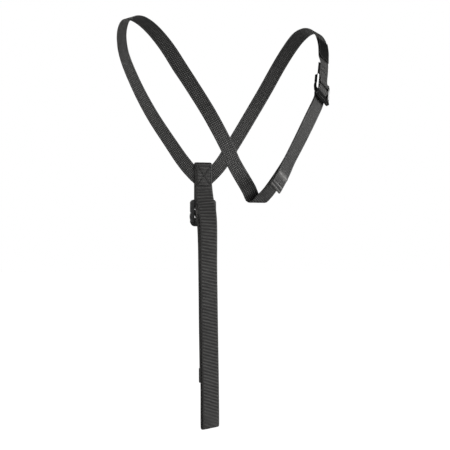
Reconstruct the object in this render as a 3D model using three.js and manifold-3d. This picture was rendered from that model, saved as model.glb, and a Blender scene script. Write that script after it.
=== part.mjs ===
// Shoulder strap of a work harness, in the form it takes when it is worn.
// One 20 mm webbing runs over both shoulders and is folded at the back and at the chest.
// A 25 mm webbing is sewn over the back fold and hangs down as a long adjustable belt loop.

import * as THREE from 'three';
import { mergeVertices } from 'three/addons/utils/BufferGeometryUtils.js';
import loadManifold from 'manifold-3d';

const wasm = await loadManifold();
wasm.setup();

// Driving dimensions, in millimetres. -Y is the wearer's front, +X the wearer's left, +Z up.
// The origin lies midway between the shoulders, at the height where the webbing rests on them.
const SHOULDER_WEBBING = { width: 20, thickness: 1.5 };
const BACK_WEBBING = { width: 25, thickness: 1.8 };
const LAYER_GAP = 0.35;
const LONGEST_STEP = 12;
const HEM_LENGTH = 19;

// A direction given by its x, y and z parts.
const toward = (x, y, z) => new THREE.Vector3(x, y, z).normalize();
const radians = THREE.MathUtils.degToRad;

// Route of the shoulder webbing, given by stations: x, y, z is the middle of the webbing, and the way
// outX, outY, outZ points away from the body.
const route = (...rows) => rows.map(([x, y, z, outX, outY, outZ]) => ({
  at: new THREE.Vector3(x, y, z),
  out: new THREE.Vector3(outX, outY, outZ),
}));

const mirrored = (stations) => stations.map(({ at, out }) => ({
  at: new THREE.Vector3(-at.x, at.y, at.z),
  out: new THREE.Vector3(-out.x, out.y, out.z),
}));

// Over the wearer's left shoulder the webbing follows an arch of two quarter ellipses that meet at its top.
// Each goes `reach` along y and `height` down, and comes `inward` along x by the power `bow` of its drop.
// The webbing leans outward by the top's `lean` at the top and by the side's own at its foot, and by `twist`
// more halfway between them.
const ARCH_TOP = { x: 134, y: 8, z: 1, lean: 0.35 };
const ARCH_BACK = { reach: 65, height: 78, inward: 33, bow: 1.35, lean: 0.38, twist: 0.4 };
const ARCH_PLAIN_FRONT = { reach: -125, height: 168, inward: 70, bow: 1, lean: 0.25, twist: 0 };
const ARCH_BUCKLE_FRONT = { ...ARCH_PLAIN_FRONT, lean: 0.75 };

// Where the stations are on the arch, in degrees from its top. The foot of each side is at a quarter turn.
const ARCH_FOOT = 90;
const BACK_ANGLES = [ARCH_FOOT, 62, 42, 22, 0];
const FRONT_ANGLES = [12, 22, 31, 39, 47];
const PLAIN_FRONT_END = 57;

// Stations on one side of the arch. But for its lean, the webbing lies square to the ellipse.
function archStations({ reach, height, inward, bow, lean, twist }, angles) {
  return angles.map((degrees) => {
    const turn = radians(degrees);
    const drop = 1 - Math.cos(turn);
    const evenLean = THREE.MathUtils.lerp(ARCH_TOP.lean, lean, degrees / ARCH_FOOT);
    return {
      at: new THREE.Vector3(
        ARCH_TOP.x - inward * drop ** bow,
        ARCH_TOP.y + reach * Math.sin(turn),
        ARCH_TOP.z - height * drop,
      ),
      out: toward(0, Math.sin(turn) / reach, Math.cos(turn) / height)
        .setX(evenLean + twist * Math.sin(2 * turn)),
    };
  });
}

// From the back fold up to the top of the shoulder. Columns: x, y, z, outX, outY, outZ.
const BACK_AND_CREST = [
  ...route(
    [50, 73, -157, 0.15, 1, 0.05],
    [77, 76, -117, 0.28, 1, 0.1],
  ),
  ...archStations(ARCH_BACK, BACK_ANGLES),
];

// Down the front on the wearer's right, where the webbing hangs free and turns to face forward.
const PLAIN_FRONT = [
  ...mirrored(archStations(ARCH_PLAIN_FRONT, [...FRONT_ANGLES, PLAIN_FRONT_END])),
  ...route(
    [-92, -108, -97, -0.05, -1, 0.12],
    [-71, -121.5, -137, 0.05, -1, 0],
    [-48.5, -123.5, -177, 0.15, -1, -0.15],
    [-38, -121.5, -197, 0.15, -1, -0.3],
  ),
];

// Down the front on the wearer's left, above and below the shoulder buckle.
const BUCKLE_FRONT_UPPER = archStations(ARCH_BUCKLE_FRONT, FRONT_ANGLES);
const BUCKLE_FRONT_LOWER = route(
  [69.5, -121.5, -137, 0.42, -0.9, 0],
  [47.5, -123.5, -177, 0.32, -0.95, -0.1],
  [37, -121.5, -197, 0.2, -0.95, -0.25],
);

// The patch, the back fold and the back buckle are turned a little towards the wearer's right.
const PATCH_TURN = radians(4);
const PATCH_FRONT = toward(-Math.sin(PATCH_TURN), -Math.cos(PATCH_TURN), 0);
const PATCH_ACROSS = toward(-Math.cos(PATCH_TURN), Math.sin(PATCH_TURN), 0);
const PATCH_MIDDLE = new THREE.Vector3(-0.8, 67.85, -214.3);

// A diagonal fold turns the webbing round a straight edge. `across` runs along that edge, `down` is the way
// the fold points, `front` the way from the layer that comes in to the one that leaves, and `slant` is the
// webbing's angle to `down`.
const BACK_FOLD = {
  at: PATCH_MIDDLE,
  across: PATCH_ACROSS,
  down: toward(0, 0, -1),
  front: PATCH_FRONT,
  radius: (SHOULDER_WEBBING.thickness + LAYER_GAP) / 2,
  slant: radians(45),
  straight: 34,
};
const CHEST_LEAN = radians(24);
const CHEST_TURN = radians(7);
const CHEST_FOLD = {
  at: new THREE.Vector3(0, -108, -242.6),
  across: toward(Math.cos(CHEST_TURN), Math.sin(CHEST_TURN), 0),
  down: toward(
    -Math.sin(CHEST_TURN) * Math.sin(CHEST_LEAN),
    Math.cos(CHEST_TURN) * Math.sin(CHEST_LEAN),
    -Math.cos(CHEST_LEAN),
  ),
  front: toward(
    Math.sin(CHEST_TURN) * Math.cos(CHEST_LEAN),
    -Math.cos(CHEST_TURN) * Math.cos(CHEST_LEAN),
    -Math.sin(CHEST_LEAN),
  ),
  radius: 3.2,
  slant: radians(36),
  straight: 16,
};

// Ladder-lock buckles: two rails, three bars `pitch` apart between them, and a tab that lifts the lowest bar.
// `up` runs along the webbing to the sewn end, `out` away from the body.
// The rails end `above` the middle of the top bar and `below` that of the lowest one.
// The webbing lies `shift` off the middle of the slot and dips by `dip` where it leaves the lowest bar.
// The tab is `reach` long, stands out by the angle `lift`, and has straight sides for the share `squareness`.
function ladderLock({ out, up, ...sizes }) {
  const square = out.clone().addScaledVector(up, -out.dot(up)).normalize();
  return {
    ...sizes,
    up,
    out: square,
    across: up.clone().cross(square),
    wrap: sizes.barRadius + LAYER_GAP + sizes.webbing.thickness / 2,
  };
}
const SHOULDER_LOCK = ladderLock({
  webbing: SHOULDER_WEBBING,
  at: new THREE.Vector3(95.5, -109.5, -95.3),
  up: toward(0.34, 0.49, 0.8),
  out: toward(0.5, -0.84, 0.17),
  slot: 24,
  rail: 3.8,
  pitch: 10.5,
  above: 4.7,
  below: 2.9,
  barRadius: 1.8,
  shift: 1,
  dip: 0,
  reach: 10.5,
  lift: radians(10),
  squareness: 0.6,
});
const BACK_LOCK_FORWARD = 0.45;
const BACK_LOCK = ladderLock({
  webbing: BACK_WEBBING,
  at: PATCH_MIDDLE.clone().addScaledVector(PATCH_FRONT, BACK_LOCK_FORWARD).setZ(-257.3),
  up: toward(0, 0, 1),
  out: PATCH_FRONT.clone().negate(),
  slot: 27,
  rail: 5.6,
  pitch: 9.7,
  above: 8.8,
  below: 3.8,
  barRadius: 2.4,
  shift: 0,
  dip: 6.5,
  reach: 9.8,
  lift: radians(28),
  squareness: 0.3,
});

// A row of a webbing's path: its middle and the direction of the line across it.
const row = (at, across, steps) => ({ at, across, steps });

// Rows along a route, with the webbing's tracked face to the body's outside (face 1) or inside (face -1).
function routeRows(stations, face) {
  return stations.map((station, i) => {
    const before = stations[Math.max(i - 1, 0)].at;
    const after = stations[Math.min(i + 1, stations.length - 1)].at;
    const along = after.clone().sub(before).normalize();
    return row(station.at, along.cross(station.out).multiplyScalar(face).normalize());
  });
}

const reversed = (stations) => [...stations].reverse();

// Rows of a diagonal fold: a straight run in, a half turn whose section lines follow the folded edge,
// and a straight run out.
function foldRows({ at, across, down, front, radius, slant, straight }) {
  const line = across.clone().multiplyScalar(-Math.sign(down.clone().cross(front).dot(across)));
  const squareTo = (along) => line.clone().addScaledVector(along, -line.dot(along)).normalize();
  const heading = (way) => down.clone().multiplyScalar(way * Math.cos(slant))
    .addScaledVector(across, Math.sin(slant));
  const bend = [0, 45, 90, 135, 180].map((degrees) => {
    const turn = radians(degrees);
    const middle = at.clone()
      .addScaledVector(across, radius * Math.tan(slant) * (turn - Math.PI / 2))
      .addScaledVector(front, -radius * Math.cos(turn))
      .addScaledVector(down, radius * Math.sin(turn));
    return row(middle, line);
  });
  const before = (length) => bend[0].at.clone().addScaledVector(heading(1), -length);
  const after = (length) => bend[4].at.clone().addScaledVector(heading(-1), length);
  const close = 2 * radius;
  return [
    row(before(straight), squareTo(heading(1))),
    row(before(close), line),
    ...bend,
    row(after(close), line),
    row(after(straight), squareTo(heading(-1))),
  ];
}

// Rows in a buckle's own plane, from pairs of heights along the webbing and distances outward.
const rowsInLock = (lock, places) => places.map(([high, proud]) => row(
  lock.at.clone().addScaledVector(lock.up, high).addScaledVector(lock.out, proud),
  lock.across,
));

// The sewn end: down behind the top bar, round it, and up again `spacing` outside the end,
// where the webbing lies `proud` of the buckle's middle.
function anchorRows(lock, { endHeight, proud, spacing }) {
  const { pitch, wrap } = lock;
  const diagonal = wrap * Math.SQRT1_2;
  return rowsInLock(lock, [
    [endHeight, proud - spacing],
    [pitch + 3 * wrap, (proud - spacing - wrap) / 2],
    [pitch, -wrap],
    [pitch - diagonal, -diagonal],
    [pitch - wrap, 0],
    [pitch - diagonal, diagonal],
    [pitch, wrap],
    [pitch + 2.4 * wrap, proud + 0.2 * (wrap - proud)],
    [endHeight, proud],
  ]);
}

// The adjusting end: up behind the lower bars, over the middle bar, and back down under the lower bar.
function threadRows(lock) {
  const { pitch, wrap, webbing, dip } = lock;
  const spacing = webbing.thickness + 2 * LAYER_GAP;
  const diagonal = wrap * Math.SQRT1_2;
  const slope = Math.asin(2 * wrap / pitch);
  const lean = wrap * Math.sin(slope);
  const rise = wrap * Math.cos(slope);
  return rowsInLock(lock, [
    [-pitch - 2.6 * wrap, -wrap - spacing - dip],
    [-pitch, -wrap - spacing],
    [-0.4 * pitch, -wrap - 0.5 * spacing],
    [0, -wrap],
    [diagonal, -diagonal],
    [wrap, 0],
    [diagonal, diagonal],
    [0, wrap],
    [-lean, rise],
    [-pitch / 2, 0],
    [lean - pitch, -rise],
    [-pitch, -wrap],
    [-pitch - 2.6 * wrap, -wrap - dip],
  ]);
}

// The free end, turned over towards `side` and sewn flat.
// `last` is the last row before the turn and `along` the way it runs.
function hemRows(last, along, side, webbing) {
  const radius = (webbing.thickness + LAYER_GAP) / 2;
  const square = side.clone().addScaledVector(along, -side.dot(along)).normalize();
  const centre = last.at.clone().addScaledVector(square, radius);
  const bend = [45, 90, 135, 180].map((degrees) => {
    const turn = radians(degrees);
    const middle = centre.clone()
      .addScaledVector(square, -radius * Math.cos(turn))
      .addScaledVector(along, radius * Math.sin(turn));
    return row(middle, last.across);
  });
  const end = row(bend[3].at.clone().addScaledVector(along, -HEM_LENGTH), last.across);
  return [...bend, end];
}

// Sections along the path, from row `from` to row `to`. A centripetal spline runs through the rows' middles.
// Each section keeps the webbing's true width where its line is slanted. `raise` lifts it off the middle.
function sections(rows, { width, thickness }, from = 0, to = rows.length - 1, raise = 0) {
  const curve = new THREE.CatmullRomCurve3(rows.map(({ at }) => at), false, 'centripetal');
  const result = [];
  for (let i = from; i <= to; i += 1) {
    const next = rows[Math.min(i + 1, rows.length - 1)];
    const span = rows[i].at.distanceTo(next.at);
    const steps = i === to ? 1 : rows[i].steps ?? Math.max(2, Math.ceil(span / LONGEST_STEP));
    for (let step = 0; step < steps; step += 1) {
      const part = step / steps;
      const place = (i + part) / (rows.length - 1);
      const across = rows[i].across.clone().lerp(next.across, part).normalize();
      const face = across.clone().cross(curve.getTangent(place));
      const halfWidth = across.multiplyScalar(width / 2 / face.length());
      face.normalize();
      const middle = curve.getPoint(place).addScaledVector(face, raise);
      result.push({ middle, halfWidth, halfThickness: face.multiplyScalar(thickness / 2) });
    }
  }
  return result;
}

// A closed solid through rectangular sections. Both wide faces are split along the same diagonals,
// so that the webbing keeps its thickness where it twists.
const INNER_FACE = 2;
function loft(places) {
  const corners = [[1, 1], [-1, 1], [-1, -1], [1, -1]];
  const positions = [];
  const faces = [];
  places.forEach(({ middle, halfWidth, halfThickness }) => {
    corners.forEach(([wide, thick]) => {
      const corner = middle.clone().addScaledVector(halfWidth, wide).addScaledVector(halfThickness, thick);
      positions.push(corner.x, corner.y, corner.z);
    });
  });
  for (let ring = 0; ring + 1 < places.length; ring += 1) {
    for (let side = 0; side < 4; side += 1) {
      const a = 4 * ring + side;
      const b = 4 * ring + ((side + 1) % 4);
      const split = side === INNER_FACE ? [a, a + 4, b, b, a + 4, b + 4] : [a, b + 4, b, a, a + 4, b + 4];
      faces.push(...split);
    }
  }
  const end = 4 * (places.length - 1);
  faces.push(0, 1, 2, 0, 2, 3, end, end + 2, end + 1, end, end + 3, end + 2);
  const geometry = new THREE.BufferGeometry();
  geometry.setAttribute('position', new THREE.Float32BufferAttribute(positions, 3));
  geometry.setIndex(faces);
  geometry.computeVertexNormals();
  return geometry;
}

// The shoulder webbing, from its sewn end to the hem of its tail.
const SHOULDER_ANCHOR = { endHeight: 43, proud: 0, spacing: 2.6 };
const SHOULDER_TAIL = route(
  [69.5, -124.5, -138, 0.3, -0.95, 0],
  [54, -126.5, -165, 0.3, -0.95, -0.1],
  [39, -126.5, -191, 0.3, -0.95, -0.1],
  [30.5, -127.3, -207, 0.3, -0.95, 0],
  [14.8, -134, -227.7, 0.34, -0.94, 0.1],
);
const way = (rows) => rows.at(-1).at.clone().sub(rows.at(-2).at).normalize();
const shoulderTail = routeRows(SHOULDER_TAIL, -1);
const shoulderAnchor = anchorRows(SHOULDER_LOCK, SHOULDER_ANCHOR);
const shoulderRows = [
  ...shoulderAnchor,
  ...routeRows(reversed([...BACK_AND_CREST, ...BUCKLE_FRONT_UPPER]), 1),
  ...foldRows(BACK_FOLD),
  ...routeRows([...mirrored(BACK_AND_CREST), ...PLAIN_FRONT], -1),
  ...foldRows(CHEST_FOLD),
  ...routeRows(reversed(BUCKLE_FRONT_LOWER), 1),
  ...threadRows(SHOULDER_LOCK),
  ...shoulderTail,
  ...hemRows(shoulderTail.at(-1), way(shoulderTail), toward(-0.34, 0.94, -0.1), SHOULDER_WEBBING),
];

// The back webbing: columns x, y, z and turn, the angle in degrees by which it faces the wearer's right.
const hanging = (...rows) => rows.map(([x, y, z, turn, steps]) => row(
  new THREE.Vector3(x, y, z),
  toward(-Math.cos(radians(turn)), Math.sin(radians(turn)), 0),
  steps,
));
const FOLD_STACK = 2 * BACK_FOLD.radius + SHOULDER_WEBBING.thickness;
const PATCH_STACK = FOLD_STACK + BACK_WEBBING.thickness + 2 * LAYER_GAP;
const BACK_ANCHOR = {
  endHeight: 36,
  proud: PATCH_STACK / 2 + BACK_LOCK_FORWARD,
  spacing: BACK_WEBBING.thickness + LAYER_GAP,
};
const PATCH_TOP = -185.5;
const BELT_LOOP = { x: 1.1, frontY: 43.5, bottom: -561.5, bend: 2, flat: 3.4, turn: 2 };

// Up behind the back fold, over its top and down in front of it.
function patchRows() {
  const half = PATCH_STACK / 2;
  const centreZ = PATCH_TOP - BACK_WEBBING.thickness / 2 - half;
  const places = [[-half, -205], ...[0, 45, 90, 135, 180].map((degrees) => [
    -half * Math.cos(radians(degrees)),
    centreZ + half * Math.sin(radians(degrees)),
  ]), [half, -200], [half, -214]];
  return places.map(([forward, z]) => row(
    PATCH_MIDDLE.clone().addScaledVector(PATCH_FRONT, forward).setZ(z),
    PATCH_ACROSS,
  ));
}

// The turn at the bottom, with a short flat where a belt bears on it.
function beltLoopRows({ x, frontY, bottom, bend, flat, turn }) {
  const diagonal = bend * (1 - Math.SQRT1_2);
  const backY = frontY + 2 * bend + flat;
  return hanging(
    [x, frontY, bottom + bend, turn],
    [x, frontY + diagonal, bottom + diagonal, turn],
    [x, frontY + bend, bottom, turn, 1],
    [x, backY - bend, bottom, turn],
    [x, backY - diagonal, bottom + diagonal, turn],
    [x, backY, bottom + bend, turn],
  );
}
const backFront = hanging(
  [-0.6, 60.5, -238, 14],
  [-0.1, 55, -249, 15],
  [0.3, 51.5, -263, 12],
  [0.4, 49.5, -277, 7],
  [0.4, 49, -330, 4],
  [0.9, 47.2, -420, 4],
  [1.2, 44.2, -510, 2],
);
const backReturn = hanging(
  [1.2, 51.7, -510, 2],
  [0.9, 52.8, -420, 4],
  [0.2, 53.5, -330, 4],
  [0, 54.5, -295, 6],
);
const backTail = hanging(
  [0, 57.8, -300, 6],
  [0.2, 57.2, -330, 4],
  [0.9, 56.4, -420, 4],
  [1.3, 55.2, -497, 3],
);
const backRows = [
  ...anchorRows(BACK_LOCK, BACK_ANCHOR),
  ...patchRows(),
  ...backFront,
  ...beltLoopRows(BELT_LOOP),
  ...backReturn,
  ...threadRows(BACK_LOCK),
  ...backTail,
  ...hemRows(backTail.at(-1), way(backTail), toward(0, 1, 0), BACK_WEBBING),
];

// The label on the outer face of the shoulder webbing, just above its sewn end.
const LABEL = { width: 19, thickness: 0.8 };
const labelStart = shoulderAnchor.length;
const labelRaise = SHOULDER_WEBBING.thickness / 2 + LAYER_GAP + LABEL.thickness / 2;
const labelSections = sections(shoulderRows, LABEL, labelStart, labelStart + 2, labelRaise);

// Joining of closed pieces.
function toSolid(geometry) {
  geometry.deleteAttribute('normal');
  geometry.deleteAttribute('uv');
  const merged = mergeVertices(geometry, 1e-4);
  return new wasm.Manifold(new wasm.Mesh({
    numProp: 3,
    vertProperties: new Float32Array(merged.attributes.position.array),
    triVerts: new Uint32Array(merged.index.array),
  }));
}
function joined(geometries) {
  const mesh = geometries.map(toSolid).reduce((whole, piece) => whole.add(piece)).getMesh();
  const geometry = new THREE.BufferGeometry();
  geometry.setAttribute('position', new THREE.BufferAttribute(mesh.vertProperties, 3));
  geometry.setIndex(new THREE.BufferAttribute(mesh.triVerts, 1));
  geometry.computeVertexNormals();
  return geometry;
}

// One side rail of a ladder lock, seen from outside: rounded at the top, nicked at the middle bar and
// flared towards the lifting tab.
const EDGE_ROUNDING = 0.55;
const NICK_DEPTH = 0.7;
const FLARE = 1.6;
function railGeometry({ slot, rail, pitch, above, below, barRadius }, side) {
  const inner = slot / 2;
  const outer = inner + rail;
  const top = pitch + above;
  const bottom = -pitch - below;
  const corner = 0.8 * rail;
  const shape = new THREE.Shape();
  shape.moveTo(inner, bottom);
  shape.lineTo(inner, top);
  shape.lineTo(outer - corner, top);
  shape.quadraticCurveTo(outer, top, outer, top - corner);
  shape.lineTo(outer, 2 * NICK_DEPTH);
  shape.lineTo(outer - NICK_DEPTH, 0);
  shape.lineTo(outer, -2 * NICK_DEPTH);
  shape.quadraticCurveTo(outer + FLARE, -0.8 * pitch, outer - FLARE, bottom);
  const depth = 1.7 * barRadius;
  const geometry = new THREE.ExtrudeGeometry(shape, {
    depth,
    curveSegments: 5,
    bevelSize: EDGE_ROUNDING,
    bevelThickness: EDGE_ROUNDING,
    bevelOffset: -EDGE_ROUNDING,
    bevelSegments: 2,
  });
  geometry.translate(0, 0, -depth / 2);
  return side > 0 ? geometry : geometry.rotateY(Math.PI);
}

// The bars between the rails and the curved tab that lifts the lowest bar.
function barGeometry({ slot, rail, barRadius }, height) {
  return new THREE.CylinderGeometry(barRadius, barRadius, slot + rail, 16)
    .rotateZ(Math.PI / 2)
    .translate(0, height, 0);
}
function tabGeometry({ slot, rail, pitch, barRadius, reach, lift, squareness }) {
  const half = slot / 2 + rail - 1.2;
  const shape = new THREE.Shape();
  shape.moveTo(-half, 0);
  shape.lineTo(-half, -squareness * reach);
  shape.quadraticCurveTo(-0.9 * half, -reach, -squareness * half, -reach);
  shape.lineTo(squareness * half, -reach);
  shape.quadraticCurveTo(0.9 * half, -reach, half, -squareness * reach);
  shape.lineTo(half, 0);
  const depth = 1.2 * barRadius;
  const geometry = new THREE.ExtrudeGeometry(shape, {
    depth,
    curveSegments: 8,
    bevelSize: EDGE_ROUNDING,
    bevelThickness: EDGE_ROUNDING,
    bevelSegments: 2,
  });
  return geometry
    .translate(0, 0, -depth / 2)
    .rotateX(-lift)
    .translate(0, -pitch, 0.4 * barRadius);
}
function lockGeometry(lock) {
  return joined([
    railGeometry(lock, 1),
    railGeometry(lock, -1),
    barGeometry(lock, lock.pitch),
    barGeometry(lock, 0),
    barGeometry(lock, -lock.pitch),
    tabGeometry(lock),
  ]);
}

const strap = new THREE.Group();
const WEBBING_BLACK = 0x2b2b2a;
const MOULDED_BLACK = 0x1c1c1c;
const LABEL_BLACK = 0x121212;
function addPiece(name, geometry, color, roughness) {
  const mesh = new THREE.Mesh(geometry, new THREE.MeshStandardMaterial({ color, roughness, metalness: 0 }));
  mesh.name = name;
  strap.add(mesh);
  return mesh;
}
function addLock(name, lock) {
  const mesh = addPiece(name, lockGeometry(lock), MOULDED_BLACK, 0.45);
  mesh.quaternion.setFromRotationMatrix(new THREE.Matrix4().makeBasis(lock.across, lock.up, lock.out));
  mesh.position.copy(lock.at).addScaledVector(lock.across, -lock.shift);
}

addPiece('shoulder_strap', loft(sections(shoulderRows, SHOULDER_WEBBING)), WEBBING_BLACK, 0.8);
addPiece('back_strap', loft(sections(backRows, BACK_WEBBING)), WEBBING_BLACK, 0.8);
addPiece('label', loft(labelSections), LABEL_BLACK, 0.5);
addLock('shoulder_buckle', SHOULDER_LOCK);
addLock('back_buckle', BACK_LOCK);

export default strap;
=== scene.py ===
import math

import bmesh
import bpy
import numpy as np
from mathutils import Matrix, Vector


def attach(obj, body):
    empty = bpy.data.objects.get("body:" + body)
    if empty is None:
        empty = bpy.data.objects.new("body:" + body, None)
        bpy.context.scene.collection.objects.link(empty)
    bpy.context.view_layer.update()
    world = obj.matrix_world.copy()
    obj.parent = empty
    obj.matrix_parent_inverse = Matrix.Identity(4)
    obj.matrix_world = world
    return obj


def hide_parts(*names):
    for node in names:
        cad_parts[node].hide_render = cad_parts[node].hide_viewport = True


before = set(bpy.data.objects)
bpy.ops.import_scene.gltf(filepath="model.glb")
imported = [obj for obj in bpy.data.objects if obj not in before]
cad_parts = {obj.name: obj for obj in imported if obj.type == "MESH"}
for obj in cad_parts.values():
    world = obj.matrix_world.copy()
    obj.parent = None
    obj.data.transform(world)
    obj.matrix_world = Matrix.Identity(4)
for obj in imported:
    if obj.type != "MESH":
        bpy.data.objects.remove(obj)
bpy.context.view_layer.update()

# The shoulder webbing is one length of 20 mm black polyester, woven with a fine lattice of raised dots.
# It starts sewn round the shoulder buckle, crosses both shoulders, and is folded at the back and the chest.
# Its other end threads the same buckle, and its hemmed tail hangs in front of the webbing.

# Lengths of the strap's pieces are millimetres, and MM takes them to the frame's metres.
MM = 0.001
SHOULDER_WIDTH = 20
SHOULDER_THICKNESS = 1.5
LAYER_GAP = 0.35
HEM_LENGTH = 19


def unit(vectors):
    return vectors / np.linalg.norm(vectors, axis=-1, keepdims=True)


def toward(*parts):
    return unit(np.array(parts, float))


def mirrored(stations):
    return [(-x, y, z, -out_x, out_y, out_z) for x, y, z, out_x, out_y, out_z in stations]


# Over the wearer's left shoulder the webbing follows an arch of two quarter ellipses that meet at its top.
# Each goes `reach` along y and `height` down, and comes `inward` along x by the power `bow` of its drop.
# The webbing leans outward by ARCH_TOP_LEAN at the top and by the side's own `lean` at its foot, and by
# `twist` more halfway between them.
ARCH_TOP = np.array((134, 8, 1))
ARCH_TOP_LEAN = 0.35
ARCH_BACK = {"reach": 65, "height": 78, "inward": 33, "bow": 1.35, "lean": 0.38, "twist": 0.4}
ARCH_PLAIN_FRONT = {"reach": -125, "height": 168, "inward": 70, "bow": 1, "lean": 0.25, "twist": 0}
ARCH_BUCKLE_FRONT = {**ARCH_PLAIN_FRONT, "lean": 0.75}

# Where the stations are on the arch, in degrees from its top. The foot of each side is at a quarter turn.
ARCH_FOOT = 90
BACK_ANGLES = (ARCH_FOOT, 62, 42, 22, 0)
FRONT_ANGLES = (12, 22, 31, 39, 47)
PLAIN_FRONT_END = 57


def arch_stations(angles, reach, height, inward, bow, lean, twist):
    """Stations on one side of the arch. But for its lean, the webbing lies square to the ellipse."""
    stations = []
    for degrees in angles:
        turn = math.radians(degrees)
        drop = 1 - math.cos(turn)
        at = ARCH_TOP + (-inward * drop ** bow, reach * math.sin(turn), -height * drop)
        even_lean = ARCH_TOP_LEAN + (lean - ARCH_TOP_LEAN) * degrees / ARCH_FOOT
        _, square_y, square_z = toward(0, math.sin(turn) / reach, math.cos(turn) / height)
        stations.append((*at, even_lean + twist * math.sin(2 * turn), square_y, square_z))
    return stations


# Columns: x, y, z of the webbing's middle and outX, outY, outZ, the way that its outer face looks.
BACK_AND_CREST = [
    (50, 73, -157, 0.15, 1, 0.05),
    (77, 76, -117, 0.28, 1, 0.1),
    *arch_stations(BACK_ANGLES, **ARCH_BACK),
]
PLAIN_FRONT = [
    *mirrored(arch_stations((*FRONT_ANGLES, PLAIN_FRONT_END), **ARCH_PLAIN_FRONT)),
    (-92, -108, -97, -0.05, -1, 0.12),
    (-71, -121.5, -137, 0.05, -1, 0),
    (-48.5, -123.5, -177, 0.15, -1, -0.15),
    (-38, -121.5, -197, 0.15, -1, -0.3),
]
BUCKLE_FRONT_UPPER = arch_stations(FRONT_ANGLES, **ARCH_BUCKLE_FRONT)
BUCKLE_FRONT_LOWER = [
    (69.5, -121.5, -137, 0.42, -0.9, 0),
    (47.5, -123.5, -177, 0.32, -0.95, -0.1),
    (37, -121.5, -197, 0.2, -0.95, -0.25),
]
SHOULDER_TAIL = [
    (69.5, -124.5, -138, 0.3, -0.95, 0),
    (54, -126.5, -165, 0.3, -0.95, -0.1),
    (39, -126.5, -191, 0.3, -0.95, -0.1),
    (30.5, -127.3, -207, 0.3, -0.95, 0),
    (14.8, -134, -227.7, 0.34, -0.94, 0.1),
]


# A row of a webbing is its middle and the direction of the line across it. A bend has rows over a half turn.
HALF_TURN = np.radians((0, 45, 90, 135, 180))


def route_rows(stations, face):
    """Rows along a route, with the webbing's tracked face to the body's outside (1) or inside (-1)."""
    at, out = np.split(np.array(stations, float), 2, axis=1)
    before = np.vstack([at[:1], at[:-1]])
    after = np.vstack([at[1:], at[-1:]])
    return list(zip(at, unit(np.cross(after - before, out)) * face))


def fold_rows(at, across, down, front, radius, slant, straight):
    """Rows of a diagonal fold: `across` runs along its edge, and `down` is the way that it points.
    `front` is the way from the layer that comes in to the one that leaves.
    `slant` is the webbing's angle to `down`, and `straight` how far it runs straight beside the fold."""
    line = -across * np.sign(np.cross(down, front) @ across)
    into = down * math.cos(slant) + across * math.sin(slant)
    away = -down * math.cos(slant) + across * math.sin(slant)
    bend = [
        at
        + across * radius * math.tan(slant) * (turn - math.pi / 2)
        - front * radius * math.cos(turn)
        + down * radius * math.sin(turn)
        for turn in HALF_TURN
    ]
    close = 2 * radius
    return [
        (bend[0] - into * straight, unit(line - into * (line @ into))),
        (bend[0] - into * close, line),
        *[(middle, line) for middle in bend],
        (bend[-1] + away * close, line),
        (bend[-1] + away * straight, unit(line - away * (line @ away))),
    ]


class LadderLock:
    """Sizes and axes of a ladder lock: `up` runs along the webbing to its sewn end, `out` away from the body.
    The rails end `above` the middle of the top bar and `below` that of the lowest one.
    The webbing lies `shift` off the middle of the slot and dips by `dip` where it leaves the lowest bar."""

    def __init__(self, webbing, at, up, out, slot, rail, pitch, above, below, bar_radius, shift, dip):
        self.webbing = webbing
        self.at = at
        self.up = up
        self.out = unit(out - up * (out @ up))
        self.across = np.cross(up, self.out)
        self.slot = slot
        self.rail = rail
        self.pitch = pitch
        self.above = above
        self.below = below
        self.bar_radius = bar_radius
        self.shift = shift
        self.dip = dip
        self.wrap = bar_radius + LAYER_GAP + webbing / 2

    def rows(self, places):
        """Rows at places given by how high they are along `up` and how far they stand out."""
        return [(self.at + self.up * high + self.out * proud, self.across) for high, proud in places]

    def anchor_rows(self, end_height, proud, spacing):
        """The sewn end: down behind the top bar, round it, and up again `spacing` outside the end."""
        pitch, wrap = self.pitch, self.wrap
        diagonal = wrap * math.sqrt(0.5)
        return self.rows([
            (end_height, proud - spacing),
            (pitch + 3 * wrap, (proud - spacing - wrap) / 2),
            (pitch, -wrap),
            (pitch - diagonal, -diagonal),
            (pitch - wrap, 0),
            (pitch - diagonal, diagonal),
            (pitch, wrap),
            (pitch + 2.4 * wrap, proud + 0.2 * (wrap - proud)),
            (end_height, proud),
        ])

    def thread_rows(self):
        """The adjusting end: up behind the lower bars, over the middle bar, and down under the lowest bar."""
        pitch, wrap, dip = self.pitch, self.wrap, self.dip
        spacing = self.webbing + 2 * LAYER_GAP
        diagonal = wrap * math.sqrt(0.5)
        slope = math.asin(2 * wrap / pitch)
        lean = wrap * math.sin(slope)
        rise = wrap * math.cos(slope)
        return self.rows([
            (-pitch - 2.6 * wrap, -wrap - spacing - dip),
            (-pitch, -wrap - spacing),
            (-0.4 * pitch, -wrap - 0.5 * spacing),
            (0, -wrap),
            (diagonal, -diagonal),
            (wrap, 0),
            (diagonal, diagonal),
            (0, wrap),
            (-lean, rise),
            (-pitch / 2, 0),
            (lean - pitch, -rise),
            (-pitch, -wrap),
            (-pitch - 2.6 * wrap, -wrap - dip),
        ])


def hem_rows(rows, side, thickness):
    """The free end of the rows, turned over towards `side` and sewn flat."""
    last, across = rows[-1]
    along = unit(last - rows[-2][0])
    radius = (thickness + LAYER_GAP) / 2
    square = unit(side - along * (side @ along))
    bend = [
        last + square * radius * (1 - math.cos(turn)) + along * radius * math.sin(turn)
        for turn in HALF_TURN[1:]
    ]
    return [(middle, across) for middle in [*bend, bend[-1] - along * HEM_LENGTH]]


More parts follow.
